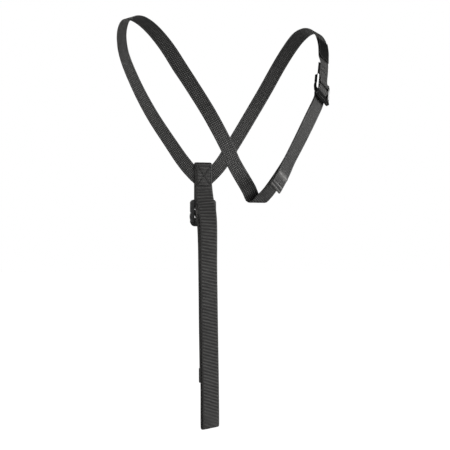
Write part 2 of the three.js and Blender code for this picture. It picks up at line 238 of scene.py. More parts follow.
PATCH_TURN = math.radians(4)
PATCH_FRONT = toward(-math.sin(PATCH_TURN), -math.cos(PATCH_TURN), 0)
PATCH_ACROSS = toward(-math.cos(PATCH_TURN), math.sin(PATCH_TURN), 0)
PATCH_MIDDLE = np.array((-0.8, 67.85, -214.3))
BACK_FOLD_RADIUS = (SHOULDER_THICKNESS + LAYER_GAP) / 2
BACK_FOLD = {
    "at": PATCH_MIDDLE,
    "across": PATCH_ACROSS,
    "down": toward(0, 0, -1),
    "front": PATCH_FRONT,
    "radius": BACK_FOLD_RADIUS,
    "slant": math.radians(45),
    "straight": 34,
}
CHEST_LEAN = math.radians(24)
CHEST_TURN = math.radians(7)
CHEST_ACROSS = toward(math.cos(CHEST_TURN), math.sin(CHEST_TURN), 0)
CHEST_LEVEL = np.cross((0, 0, 1), CHEST_ACROSS)
CHEST_FOLD = {
    "at": np.array((0, -108, -242.6)),
    "across": CHEST_ACROSS,
    "down": CHEST_LEVEL * math.sin(CHEST_LEAN) - toward(0, 0, 1) * math.cos(CHEST_LEAN),
    "front": -CHEST_LEVEL * math.cos(CHEST_LEAN) - toward(0, 0, 1) * math.sin(CHEST_LEAN),
    "radius": 3.2,
    "slant": math.radians(36),
    "straight": 16,
}
SHOULDER_LOCK = LadderLock(
    webbing=SHOULDER_THICKNESS,
    at=np.array((95.5, -109.5, -95.3)),
    up=toward(0.34, 0.49, 0.8),
    out=toward(0.5, -0.84, 0.17),
    slot=24,
    rail=3.8,
    pitch=10.5,
    above=4.7,
    below=2.9,
    bar_radius=1.8,
    shift=1,
    dip=0,
)
SEWN_END = {"end_height": 43, "proud": 0, "spacing": 2.6}
TAIL_HEM_SIDE = toward(-0.34, 0.94, -0.1)

shoulder_anchor = SHOULDER_LOCK.anchor_rows(**SEWN_END)
shoulder_tail = route_rows(SHOULDER_TAIL, -1)
shoulder_hem = hem_rows(shoulder_tail, TAIL_HEM_SIDE, SHOULDER_THICKNESS)
shoulder_rows = [
    *shoulder_anchor,
    *route_rows([*BACK_AND_CREST, *BUCKLE_FRONT_UPPER][::-1], 1),
    *fold_rows(**BACK_FOLD),
    *route_rows([*mirrored(BACK_AND_CREST), *PLAIN_FRONT], -1),
    *fold_rows(**CHEST_FOLD),
    *route_rows(BUCKLE_FRONT_LOWER[::-1], 1),
    *SHOULDER_LOCK.thread_rows(),
    *shoulder_tail,
    *shoulder_hem,
]


class Ribbon:
    """A centripetal spline through the rows' middles. The lines across the webbing turn between them."""

    SAMPLES = 24

    def __init__(self, rows):
        middles = np.array([middle for middle, _ in rows])
        self.lines = np.array([line for _, line in rows])
        ends = 2 * middles[[0, -1]] - middles[[1, -2]]
        points = np.vstack([ends[:1], middles, ends[1:]])
        knots = np.linalg.norm(np.diff(points, axis=0), axis=1)[:, None] ** 0.5
        steps = np.diff(points, axis=0) / knots
        wide = (points[2:] - points[:-2]) / (knots[1:] + knots[:-1])
        slopes = steps[:-1] - wide + steps[1:]
        leave = slopes[:-1] * knots[1:-1]
        enter = slopes[1:] * knots[1:-1]
        first, last = middles[:-1], middles[1:]
        self.curve = [
            first,
            leave,
            3 * (last - first) - 2 * leave - enter,
            2 * (first - last) + leave + enter,
        ]
        self.places = np.linspace(0, len(rows) - 1, (len(rows) - 1) * self.SAMPLES + 1)
        chords = np.linalg.norm(np.diff(self.point(self.places), axis=0), axis=1)
        self.lengths = np.concatenate([[0], np.cumsum(chords)])
        self.marks = self.lengths[:: self.SAMPLES]

    def point(self, places):
        span = np.minimum(places.astype(int), len(self.lines) - 2)
        part = (places - span)[:, None]
        start, slope, bow, twist = (terms[span] for terms in self.curve)
        return start + part * (slope + part * (bow + part * twist))

    def at(self, along):
        """The middle, the line across to 1 mm, the face and the heading at lengths along the webbing."""
        places = np.interp(along, self.lengths, self.places)
        span = np.minimum(places.astype(int), len(self.lines) - 2)
        part = (places - span)[:, None]
        _, slope, bow, twist = (terms[span] for terms in self.curve)
        heading = unit(slope + part * (2 * bow + 3 * part * twist))
        line = unit(self.lines[span] * (1 - part) + self.lines[span + 1] * part)
        face = np.cross(line, heading)
        slanted = np.linalg.norm(face, axis=1, keepdims=True)
        return self.point(places), line / slanted, face / slanted, heading


PRESSED_DEPTH = 0.45
SELVAGE_ROUNDING = np.radians((45, 0, -45))
CLOTH_SMOOTHING = math.radians(50)


def band(name, ribbon, start, end, width, thickness, lift, step, columns, relief, weave, skew=np.zeros_like):
    """A closed band of cloth on the ribbon, between two lengths along it, with rounded selvages.
    `lift` raises it off the ribbon and `skew` is the slope of its weft, by the length along it.
    `weave` gives, by the place in the cloth, how far it stands up in its `relief`, how much painted sheen
    lightens it and how far a thread presses it down, which also darkens it as painted shade. Each is a share,
    and past 1 the cloth swells beyond its thickness."""
    along = np.linspace(start, end, round((end - start) / step) + 1)
    flat = (width - thickness) / 2
    columns_across = np.linspace(-flat, flat, columns + 1)
    selvage = flat + np.cos(SELVAGE_ROUNDING) * thickness / 2
    across = np.concatenate([columns_across, selvage, -columns_across, -selvage])
    level = np.ones(columns + 1)
    turned = np.sin(SELVAGE_ROUNDING)
    rise = np.concatenate([level, turned, -level, -turned])
    middle, line, face, heading = ribbon.at(along)
    lean = np.sum(line * heading, axis=1) + skew(along)
    lie = along[:, None] + lean[:, None] * across
    placed = np.stack([lie, across + 0 * lie, np.sign(rise) + 0 * lie], axis=2)
    raised, painted_sheen, dent_and_painted_shade = weave(*np.moveaxis(placed, 2, 0))
    depth = relief * (1 - raised) + PRESSED_DEPTH * dent_and_painted_shade
    height = lift(along)[:, None] + rise * (thickness / 2 - depth)
    points = (
        middle[:, None, :]
        + line[:, None, :] * across[None, :, None]
        + face[:, None, :] * height[:, :, None]
    )
    ring = len(across)
    corner = np.arange(ring)
    loop = np.stack([corner, np.roll(corner, -1)], axis=1)
    sides = np.concatenate([loop, loop[:, ::-1] + ring], axis=1)
    rings = np.arange(len(along) - 1)[:, None, None] * ring
    faces = (rings + sides).reshape(-1, 4).tolist()
    under = columns + 1 + len(SELVAGE_ROUNDING)
    for base in (0, ring * (len(along) - 1)):
        for column in range(columns):
            below = under + columns - column
            faces.append([base + column, base + column + 1, base + below - 1, base + below])
        faces.append([base + corner for corner in range(columns, under + 1)])
        faces.append([base + corner % ring for corner in range(under + columns, ring + 1)])
    mesh = bpy.data.meshes.new(name)
    mesh.from_pydata((points.reshape(-1, 3) * MM).tolist(), [], faces)
    for kind, values in (("lie", placed), ("weave", np.stack([raised, painted_sheen, dent_and_painted_shade], axis=2))):
        attribute = mesh.attributes.new(kind, "FLOAT_VECTOR", "POINT")
        attribute.data.foreach_set("vector", values.astype(np.float32).ravel())
    piece = bpy.data.objects.new(name, mesh)
    bpy.context.scene.collection.objects.link(piece)
    bpy.ops.object.select_all(action="DESELECT")
    bpy.context.view_layer.objects.active = piece
    piece.select_set(True)
    bpy.ops.object.mode_set(mode="EDIT")
    bpy.ops.mesh.select_all(action="SELECT")
    bpy.ops.mesh.normals_make_consistent(inside=False)
    bpy.ops.object.mode_set(mode="OBJECT")
    bpy.ops.object.shade_smooth_by_angle(angle=CLOTH_SMOOTHING)
    return piece


class Shade:
    """An output of a shader node. Arithmetic on it adds Math nodes to its material."""

    def __init__(self, tree, output=None):
        self.tree = tree
        self.output = output

    def node(self, kind, settings, inputs, output=0):
        """Adds a node: its settings first, then the values or links of its sockets."""
        made = self.tree.nodes.new(kind)
        for name, value in settings.items():
            setattr(made, name, value)
        for name, value in inputs.items():
            if isinstance(value, Shade):
                self.tree.links.new(value.output, made.inputs[name])
            else:
                made.inputs[name].default_value = value
        return Shade(self.tree, made.outputs[output] if made.outputs else None)

    def math(self, operation, *values):
        return self.node("ShaderNodeMath", {"operation": operation}, dict(enumerate(values)))

    def __add__(self, other):
        return self.math("ADD", self, other)

    __radd__ = __add__

    def __sub__(self, other):
        return self.math("SUBTRACT", self, other)

    def __rsub__(self, other):
        return self.math("SUBTRACT", other, self)

    def __mul__(self, other):
        return self.math("MULTIPLY", self, other)

    __rmul__ = __mul__

    def __truediv__(self, other):
        return self.math("DIVIDE", self, other)

    def __abs__(self):
        return self.math("ABSOLUTE", self)

    def ridges(self, period):
        """Rounded ridges from 0 to 1, a period apart."""
        return self.math("COSINE", self * (2 * math.pi / period)) * 0.5 + 0.5

    def rising(self, low, high):
        """From 0 at `low` to 1 at `high`, smoothly."""
        settings = {"interpolation_type": "SMOOTHSTEP"}
        return self.node("ShaderNodeMapRange", settings, {"Value": self, "From Min": low, "From Max": high})

    def mixed(self, low, high):
        """A colour between two colours, by this value. A Mix node has its colours in sockets 6 and 7."""
        return self.node("ShaderNodeMix", {"data_type": "RGBA"}, {0: self, 6: low, 7: high}, output=2)


def new_material(name):
    """An empty material and the start of its nodes."""
    material = bpy.data.materials.new(name)
    material.use_nodes = True
    material.node_tree.nodes.clear()
    return material, Shade(material.node_tree)


def grain(start, place, scale, detail=2.0):
    """Noise about 0, from -0.5 to 0.5."""
    return start.node("ShaderNodeTexNoise", {}, {"Vector": place, "Scale": scale, "Detail": detail}) - 0.5


def cloth_place(start):
    """The place in the cloth, and its parts along and across it."""
    place = start.node("ShaderNodeAttribute", {"attribute_name": "lie"}, {}, output="Vector")
    along, across = (start.node("ShaderNodeSeparateXYZ", {}, {0: place}, output=part) for part in (0, 1))
    return place, along, across


def cloth_weave(start):
    """How far the cloth stands up in its relief, how much painted sheen lightens it, and how far a thread
    presses it down, which also darkens it as painted shade.
    """
    weave = start.node("ShaderNodeAttribute", {"attribute_name": "weave"}, {}, output="Vector")
    return (start.node("ShaderNodeSeparateXYZ", {}, {0: weave}, output=part) for part in (0, 1, 2))


def finish_cloth(start, colour, roughness, height, bump, sheen, specular):
    normal = start.node("ShaderNodeBump", {}, {"Strength": 1.0, "Distance": bump * MM, "Height": height})
    surface = start.node("ShaderNodeBsdfPrincipled", {}, {
        "Base Color": colour,
        "Roughness": roughness,
        "Normal": normal,
        "Sheen Weight": sheen,
        "Sheen Roughness": 0.4,
        "Specular IOR Level": specular,
    })
    start.node("ShaderNodeOutputMaterial", {}, {"Surface": surface})


DOT_ALONG = 2.6
DOT_ACROSS = 2.64
DOT_RELIEF = 0.2
# The dots' colour runs from painted shade between them to a painted highlight on their crowns.
DOT_SHADOW = (0.004, 0.0039, 0.0037, 1)
DOT_CROWN = (0.15, 0.1462, 0.141, 1)
STRAND_PITCH = 0.44
SELVAGE_BAND = 0.9
SELVAGE_FADE = 0.6
WEAR_SCALE = 0.045
YARN_SCALE = 2.6
CREASE_HEIGHT = 0.7
shoulder_ribbon = Ribbon(shoulder_rows)

# Before the turn of its hem, the tail has an edge and a ridge over the seam lightened as painted highlights,
# a groove darkened as painted shade, and a raised crease lightened as a painted sheen.
hem_turn = shoulder_ribbon.marks[-len(shoulder_hem) - 1]
hem_edge = hem_turn - 0.4
hem_groove = hem_turn - 2.9
hem_ridge = hem_turn - 6.6
hem_crease = hem_turn - 20.8


def ridges(places, period):
    """Rounded ridges from 0 to 1, a period apart."""
    return 0.5 + 0.5 * np.cos(places * 2 * np.pi / period)


def swell(places, middle, reach):
    """A smooth swell from 0 to 1 at the middle and back to 0."""
    return np.exp(-(((places - middle) / reach) ** 2))


def dotted_weave(lie, across, side):
    inner = np.clip((SHOULDER_WIDTH / 2 - SELVAGE_BAND - abs(across)) / SELVAGE_FADE, 0, 1)
    # The crease, the ridge over the seam and the hem's edge are lightened as a painted sheen, and the groove
    # is darkened as painted shade.
    creased = swell(lie, hem_crease, reach=3.4) + 0.8 * swell(lie, hem_ridge, reach=1.6)
    painted_sheen = creased * inner + swell(lie, hem_edge, reach=1.0)
    dots = ridges(lie, DOT_ALONG) * ridges(across, DOT_ACROSS) * inner
    return np.maximum(dots, painted_sheen), painted_sheen, swell(lie, hem_groove, reach=1.1)


def crease_lift(along):
    """The tail stands up in a crease where the hem under it ends, away from the body."""
    return -CREASE_HEIGHT * swell(along, hem_crease, reach=2.6)


def dotted_webbing():
    material, start = new_material("dotted_webbing")
    place, along, across = cloth_place(start)
    _, painted_sheen, dent_and_painted_shade = cloth_weave(start)
    woven = SHOULDER_WIDTH / 2 - SELVAGE_BAND
    inner = 1 - abs(across).rising(woven - SELVAGE_FADE, woven)
    picks = along.ridges(DOT_ALONG)
    ends = across.ridges(DOT_ACROSS)
    dots = (picks * ends + (1 - picks) * (1 - ends) * 0.12).rising(0.15, 0.85) * inner
    # The crown takes the painted sheen of the tail's crease, seam ridge and hem edge.
    crown = dots.math("MAXIMUM", dots * 0.7, painted_sheen) + (1 - inner) * 0.32
    wear = grain(start, place, WEAR_SCALE, detail=4.0)
    yarn = grain(start, place, YARN_SCALE)
    strands = (across + along * 0.12).ridges(STRAND_PITCH)
    # Towards the selvages the tone darkens as painted shade.
    painted_edge_shade = abs(across) / (SHOULDER_WIDTH / 2)
    # The tone drops in the hem's groove as painted shade.
    tone = crown * (0.7 + strands * 0.6) + wear * 0.2 + yarn * 0.1 - dent_and_painted_shade - painted_edge_shade * painted_edge_shade * 0.15
    colour = tone.mixed(DOT_SHADOW, DOT_CROWN)
    roughness = 0.62 - crown * 0.3 + wear * 0.15
    height = crown + strands * 0.2 + yarn * 0.2
    finish_cloth(start, colour, roughness, height, bump=0.25, sheen=0.04, specular=0.32)
    return material


shoulder_webbing = band(
    "shoulder_webbing",
    shoulder_ribbon,
    start=0,
    end=shoulder_ribbon.marks[-1],
    width=SHOULDER_WIDTH,
    thickness=SHOULDER_THICKNESS,
    lift=crease_lift,
    step=DOT_ALONG / 3,
    columns=21,
    relief=DOT_RELIEF,
    weave=dotted_weave,
)
shoulder_webbing.data.materials.append(dotted_webbing())

# The seams are single stitches of black polyester thread, each pulled down into the cloth at its ends.
# One stitch is modelled at a length of 1 and laid along every line of sewing.
STITCH_LENGTH = 2.6
STITCH_PITCH = 1.12 * STITCH_LENGTH
STITCH_THICKNESS = 0.7
STITCH_END = 0.4
STITCH_DIP = 0.35
STITCH_SINK = 0.1
THREAD_DARK = (0.008, 0.008, 0.008, 1)
THREAD_PALE = (0.035, 0.034, 0.033, 1)
bpy.ops.object.select_all(action="DESELECT")
bpy.ops.mesh.primitive_uv_sphere_add(segments=8, ring_count=6, radius=0.5, rotation=(0, math.pi / 2, 0))
stitch = bpy.context.object
bpy.ops.object.transform_apply(location=True, rotation=True, scale=True)
bpy.ops.object.mode_set(mode="EDIT")
bpy.ops.mesh.select_mode(type="VERT")
bpy.ops.mesh.select_all(action="DESELECT")
stitch_mesh = bmesh.from_edit_mesh(stitch.data)
for vert in stitch_mesh.verts:
    vert.select_set(abs(vert.co.x) > STITCH_END)
bmesh.update_edit_mesh(stitch.data)
bpy.ops.transform.translate(value=(0, 0, -STITCH_DIP))
bpy.ops.mesh.select_all(action="SELECT")
bpy.ops.transform.resize(value=(1, STITCH_THICKNESS, STITCH_THICKNESS))
bpy.ops.object.mode_set(mode="OBJECT")
bpy.ops.object.shade_smooth()


def thread_finish():
    material, start = new_material("black_thread")
    place = start.node("ShaderNodeTexCoord", {}, {}, output="Object")
    twist = grain(start, place, scale=2500.0)
    colour = (twist + 0.5).mixed(THREAD_DARK, THREAD_PALE)
    finish_cloth(start, colour, 0.55 + twist * 0.2, twist, bump=0.08, sheen=0.1, specular=0.5)
    return material


stitch.data.materials.append(thread_finish())


def sew(name, ribbon, lines, side, lift):
    """Stitches along lines given by two places (along, across), on the face at `lift` from the middle."""
    copies = []
    for begin, end in np.array(lines, float):
        run = math.dist(begin, end)
        count = max(1, round(run / STITCH_PITCH))
        reach = min(STITCH_LENGTH, run)
        way = (end - begin) / run
        for number in range(count):
            halfway = begin + (end - begin) * (number + 0.5) / count
            middle, line, face, heading = (part[0] for part in ribbon.at(halfway[:1]))
            normal = face * side
            forward = unit(heading * way[0] + line * way[1])
            sideways = np.cross(normal, forward)
            spot = middle + line * halfway[1] + normal * lift
            turned = Matrix((*np.stack([forward * reach, sideways, normal], axis=1),)).to_4x4()
            turned.translation = Vector(spot)
            copy = stitch.copy()
            copy.data = stitch.data.copy()
            copy.data.transform(Matrix.Scale(MM, 4) @ turned)
            bpy.context.scene.collection.objects.link(copy)
            copies.append(copy)
    bpy.ops.object.select_all(action="DESELECT")
    for copy in copies:
        copy.select_set(True)
    bpy.context.view_layer.objects.active = copies[0]
    bpy.ops.object.join()
    seam = bpy.context.object
    seam.name = name
    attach(seam, "root")
    return seam


def sewn_box(start, end, half):
    """The sides of a sewn box between two lengths along the webbing."""
    corners = [(start, -half), (start, half), (end, half), (end, -half)]
    return list(zip(corners, corners[1:] + corners[:1]))


def box_and_cross(start, end, half):
    """A sewn box with its diagonals."""
    diagonals = [((start, -half), (end, half)), ((start, half), (end, -half))]
    return [*sewn_box(start, end, half), *diagonals]


def bar_tack(start, end, half, teeth):
    """A dense zigzag across the webbing, between two lengths along it."""
    places = [(start if tooth % 2 else end, half * (2 * tooth / teeth - 1)) for tooth in range(teeth + 1)]
    return list(zip(places, places[1:]))


# The sewn end has two tacks through both its layers, between these lengths from its end.
SEWN_TACKS = ((2.5, 6), (10.5, 14))
SEWN_TACK_FORM = {"half": 8, "teeth": 14}
STITCH_LIFT = SHOULDER_THICKNESS / 2 + 0.02
sewn = shoulder_ribbon.marks[len(shoulder_anchor) - 1]
outer_tacks = [bar_tack(sewn - far, sewn - near, **SEWN_TACK_FORM) for near, far in SEWN_TACKS[::-1]]
inner_tacks = [bar_tack(near, far, **SEWN_TACK_FORM) for near, far in SEWN_TACKS]
hem_tack = bar_tack(hem_turn - 9.6, hem_turn - 5.8, half=8.6, teeth=22)
shoulder_seams = [
    sew("sewn_end_seam", shoulder_ribbon, sum(outer_tacks, []), side=1, lift=STITCH_LIFT),
    sew("sewn_end_back_seam", shoulder_ribbon, sum(inner_tacks, []), side=1, lift=STITCH_LIFT),
    sew("tail_hem_seam", shoulder_ribbon, hem_tack, side=-1, lift=STITCH_LIFT),
]

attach(shoulder_webbing, "root")
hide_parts("shoulder_strap")

# The label is a strip of black satin ribbon, sewn flat on the outer face of the shoulder webbing.
# It lies just above the sewn end, and its face is plain.
LABEL_WIDTH = 19
LABEL_THICKNESS = 0.8
LABEL_RIM = 1.4
SATIN_BLACK = (0.003, 0.003, 0.0031, 1)
SATIN_FLOAT = (0.008, 0.008, 0.0081, 1)
label_lift = SHOULDER_THICKNESS / 2 + LAYER_GAP + LABEL_THICKNESS / 2
label_start = shoulder_ribbon.marks[len(shoulder_anchor)]
label_end = shoulder_ribbon.marks[len(shoulder_anchor) + 2]


def satin_weave(lie, across, side):
    rim = np.minimum(LABEL_WIDTH / 2 - abs(across), np.minimum(lie - label_start, label_end - lie))
    return 1 + 0 * lie, 0 * lie, swell(rim, LABEL_RIM, reach=0.5) * 0.4


def label_height(along):
    return label_lift + 0 * along


def satin_finish():
    material, start = new_material("black_satin")
    place, along, across = cloth_place(start)
    floats = (along + across * 0.5).ridges(0.62) * across.ridges(0.5)
    wear = grain(start, place, scale=0.4, detail=3.0)
    tone = floats * 0.6 + 0.35 + wear * 0.6
    colour = tone.mixed(SATIN_BLACK, SATIN_FLOAT)
    finish_cloth(start, colour, 0.5 + wear * 0.15, floats + wear, bump=0.03, sheen=0.0, specular=0.05)
    return material


woven_label = band(
    "woven_label",
    shoulder_ribbon,
    start=label_start,
    end=label_end,
    width=LABEL_WIDTH,
    thickness=LABEL_THICKNESS,
    lift=label_height,
    step=0.5,
    columns=36,
    relief=0,
    weave=satin_weave,
)
woven_label.data.materials.append(satin_finish())
label_seam = sew(
    "label_seam",
    shoulder_ribbon,
    sewn_box(label_start + LABEL_RIM, label_end - LABEL_RIM, LABEL_WIDTH / 2 - LABEL_RIM),
    side=1,
    lift=label_lift + LABEL_THICKNESS / 2 - STITCH_SINK,
)
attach(woven_label, "root")
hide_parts("label")

# The shoulder buckle is a black moulded ladder lock: two rails, three bars between them and a lifting tab.
# It is moulded in one piece, and the webbing alone holds it.
EDGE_ROUNDING = 0.55
NICK_DEPTH = 0.7
FLARE = 1.6
RIDGE_HEIGHT = 0.35
BAR_ROOT = 1.0
BAR_ROOT_END = 0.3
BAR_ROOT_SWELL = 1.14
TAB_INSET = 1.2
FINGER_EDGE = 1.3
FINGER_EDGE_RISE = 0.5
MOULDING_SMOOTHING = math.radians(35)

# Shares of the bars' radius and of the rails' width.
RAIL_DEPTH_SHARE = 1.7
TAB_DEPTH_SHARE = 1.2
TAB_RISE_SHARE = 0.4
RAIL_TOP_ROUNDING_SHARE = 0.8
RIDGE_PLACE_SHARE = 0.55

# How close a point is to a place to count as on it.
ON_PLACE = 0.05


def select(piece, kind, test):
    """In edit mode, selects the vertices, edges or faces whose middle and spread pass the test."""
    bpy.ops.mesh.select_mode(type=kind)
    bpy.ops.mesh.select_all(action="DESELECT")
    mesh = bmesh.from_edit_mesh(piece.data)
    for part in {"VERT": mesh.verts, "EDGE": mesh.edges, "FACE": mesh.faces}[kind]:
        corners = np.array([vert.co for vert in ([part] if kind == "VERT" else part.verts)])
        part.select_set(bool(test(corners.mean(axis=0), np.ptp(corners, axis=0))))
    mesh.select_flush_mode()
    bmesh.update_edit_mesh(piece.data)


def cut(places, axis):
    """Cuts the whole mesh in edit mode by planes across an axis."""
    normal = [float(axis == number) for number in range(3)]
    for place in places:
        bpy.ops.mesh.select_all(action="SELECT")
        bpy.ops.mesh.bisect(plane_co=[place * part for part in normal], plane_no=normal)


def soften(piece):
    """Rounds the piece's sharp edges."""
    rounded = piece.modifiers.new("rounded_edges", "BEVEL")
    rounded.width = EDGE_ROUNDING
    rounded.segments = 3
    rounded.angle_limit = math.radians(40)
    bpy.ops.object.modifier_apply(modifier=rounded.name)


def moulded_rail(lock):
    """The rail on the +x side: rounded at the top, nicked at the middle bar and flared towards the tab."""
    inner = lock.slot / 2
    outer = inner + lock.rail
    top = lock.pitch + lock.above
    bottom = -lock.pitch - lock.below
    ridge = inner + RIDGE_PLACE_SHARE * lock.rail
    depth = RAIL_DEPTH_SHARE * lock.bar_radius + 2 * EDGE_ROUNDING
    bpy.ops.object.select_all(action="DESELECT")
    bpy.ops.mesh.primitive_cube_add(
        size=1,
        location=(inner + lock.rail / 2, (top + bottom) / 2, 0),
        scale=(lock.rail, top - bottom, depth),
    )
    bpy.ops.object.transform_apply(location=True, rotation=True, scale=True)
    rail = bpy.context.object
    bpy.ops.object.mode_set(mode="EDIT")
    select(rail, "EDGE", lambda middle, spread: (
        middle[0] > outer - ON_PLACE and middle[1] > top - ON_PLACE and spread[2] > depth / 2
    ))
    bpy.ops.mesh.bevel(offset=RAIL_TOP_ROUNDING_SHARE * lock.rail, segments=6, affect="EDGES")
    # The flare's side is a quadratic curve, by its height and how far it is shifted outward.
    flare = [
        (
            -2 * NICK_DEPTH * (1 - part) ** 2 - 1.6 * lock.pitch * part * (1 - part) + bottom * part**2,
            FLARE * (2 * part - 3 * part**2),
        )
        for part in np.linspace(0, 1, 7)
    ]
    cut((2 * NICK_DEPTH, 0, *[height for height, _ in flare[:-1]]), 1)
    cut((ridge,), 0)
    for height, shift in [(0, -NICK_DEPTH), *flare[1:]]:
        select(rail, "VERT", lambda middle, _: (
            middle[0] > outer - ON_PLACE and abs(middle[1] - height) < ON_PLACE
        ))
        bpy.ops.transform.translate(value=(shift, 0, 0))
    select(rail, "VERT", lambda middle, _: abs(middle[0] - ridge) < ON_PLACE and middle[2] > 0)
    bpy.ops.transform.translate(value=(0, 0, RIDGE_HEIGHT))
    bpy.ops.object.mode_set(mode="OBJECT")
    soften(rail)
    return rail


def moulded_bar(lock, height):
    """A bar between the rails, thicker where it runs into them."""
    bpy.ops.object.select_all(action="DESELECT")
    bpy.ops.mesh.primitive_cylinder_add(
        vertices=24,
        radius=lock.bar_radius,
        depth=lock.slot + lock.rail,
        location=(0, height, 0),
        rotation=(0, math.pi / 2, 0),
    )
    bpy.ops.object.transform_apply(location=True, rotation=True, scale=True)
    bar = bpy.context.object
    bpy.ops.object.mode_set(mode="EDIT")
    inner = lock.slot / 2
    root = inner - BAR_ROOT
    root_end = inner - BAR_ROOT_END
    cut((-root, -root_end, root_end, root), 0)
    for side in (-1, 1):
        select(bar, "VERT", lambda middle, _: middle[0] * side > root_end - ON_PLACE)
        bpy.ops.transform.resize(value=(1, BAR_ROOT_SWELL, BAR_ROOT_SWELL), center_override=(0, height, 0))
    bpy.ops.object.mode_set(mode="OBJECT")
    return bar


def moulded_tab(lock, reach, lift, squareness):
    """The tab that lifts the lowest bar: a plate with rounded corners and a raised finger edge."""
    half = lock.slot / 2 + lock.rail - TAB_INSET
    depth = TAB_DEPTH_SHARE * lock.bar_radius + 2 * EDGE_ROUNDING
    finger_edge = -reach + FINGER_EDGE
    bpy.ops.object.select_all(action="DESELECT")
    bpy.ops.mesh.primitive_cube_add(
        size=1,
        location=(0, -reach / 2, 0),
        scale=(2 * half + 2 * EDGE_ROUNDING, reach + 2 * EDGE_ROUNDING, depth),
    )
    bpy.ops.object.transform_apply(location=True, rotation=True, scale=True)
    tab = bpy.context.object
    bpy.ops.object.mode_set(mode="EDIT")
    select(tab, "EDGE", lambda middle, spread: middle[1] < -reach and spread[2] > 1)
    bpy.ops.mesh.bevel(offset=(1 - squareness) * reach + 0.5, segments=7, affect="EDGES")
    cut((finger_edge + FINGER_EDGE, finger_edge), 1)
    select(tab, "FACE", lambda middle, _: middle[2] > 0.4 * depth and middle[1] < finger_edge)
    bpy.ops.transform.translate(value=(0, 0, FINGER_EDGE_RISE))
    bpy.ops.object.mode_set(mode="OBJECT")
    soften(tab)
    lowest_bar = Matrix.Translation((0, -lock.pitch, TAB_RISE_SHARE * lock.bar_radius))
    tab.data.transform(lowest_bar @ Matrix.Rotation(-lift, 4, "X"))
    return tab


def moulded_finish(name, dark, pale, roughness, shine):
    material, start = new_material(name)
    place = start.node("ShaderNodeTexCoord", {}, {}, output="Object")
    spark = grain(start, place, scale=1400.0)
    scuff = grain(start, place, scale=160.0, detail=5.0)
    colour = (scuff + 0.5).rising(0.3, 0.9).mixed((dark, dark, dark, 1), (pale, pale, pale, 1))
    normal = start.node("ShaderNodeBump", {}, {
        "Strength": 0.25,
        "Distance": 0.02 * MM,
        "Height": spark + scuff * 0.6,
    })
    surface = start.node("ShaderNodeBsdfPrincipled", {}, {
        "Base Color": colour,
        "Roughness": roughness + scuff * 0.1,
        "Normal": normal,
        "Specular IOR Level": shine,
    })
    start.node("ShaderNodeOutputMaterial", {}, {"Surface": surface})
    return material


def ladder_lock(name, lock, reach, lift, squareness, finish):
    """The whole buckle, fused in its own axes and then laid in the frame."""
    rail = moulded_rail(lock)
    other = rail.copy()
    other.data = rail.data.copy()
    other.data.transform(Matrix.Rotation(math.pi, 4, "Y"))
    bpy.context.scene.collection.objects.link(other)
    bars = [moulded_bar(lock, height) for height in (lock.pitch, 0, -lock.pitch)]
    tab = moulded_tab(lock, reach, lift, squareness)
    bpy.ops.object.select_all(action="DESELECT")
    rail.select_set(True)
    bpy.context.view_layer.objects.active = rail
    for piece in (other, *bars, tab):
        fused = rail.modifiers.new("fused", "BOOLEAN")
        fused.operation = "UNION"
        fused.solver = "EXACT"
        fused.object = piece
        bpy.ops.object.modifier_apply(modifier=fused.name)
        bpy.data.objects.remove(piece)
    rail.name = name
    middle = Vector(lock.at - lock.across * lock.shift)
    place = Matrix((*np.stack([lock.across, lock.up, lock.out], axis=1),)).to_4x4()
    place.translation = middle
    rail.data.transform(Matrix.Scale(MM, 4) @ place)
    bpy.ops.object.shade_smooth_by_angle(angle=MOULDING_SMOOTHING)
    even = rail.modifiers.new("even_faces", "WEIGHTED_NORMAL")
    even.keep_sharp = True
    bpy.ops.object.modifier_apply(modifier=even.name)
    rail.data.materials.append(finish)
    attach(rail, "root")
    return rail


shoulder_lock = ladder_lock(
    "shoulder_ladder_lock",
    SHOULDER_LOCK,
    reach=10.5,
    lift=math.radians(10),
    squareness=0.6,
    finish=moulded_finish("gloss_moulding", dark=0.002, pale=0.004, roughness=0.1, shine=0.25),
)
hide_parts("shoulder_buckle")

# The back webbing is 25 mm black polyester with ribs across it. Its end is sewn round the back buckle, and it
# wraps the back fold as a sewn patch, hangs down, turns at the belt loop and runs up to the buckle again.
# The tail that the buckle lets go hangs behind the two runs of the loop and ends in a hem.
BACK_WIDTH = 25
BACK_THICKNESS = 1.8
PATCH_STACK = 2 * BACK_FOLD_RADIUS + SHOULDER_THICKNESS + BACK_THICKNESS + 2 * LAYER_GAP
PATCH_TOP = -185.5
PATCH_BEHIND = -205
PATCH_BEFORE = (-200, -214)
BACK_LOCK_FORWARD = 0.45
BACK_LOCK = LadderLock(
    webbing=BACK_THICKNESS,
    at=np.array((*(PATCH_MIDDLE + PATCH_FRONT * BACK_LOCK_FORWARD)[:2], -257.3)),
    up=toward(0, 0, 1),
    out=-PATCH_FRONT,
    slot=27,
    rail=5.6,
    pitch=9.7,
    above=8.8,
    below=3.8,
    bar_radius=2.4,
    shift=0,
    dip=6.5,
)
BELT_LOOP = {"x": 1.1, "front_y": 43.5, "bottom": -561.5, "bend": 2, "flat": 3.4, "turn": 2}
BELT_LOOP_TILT = 0.13

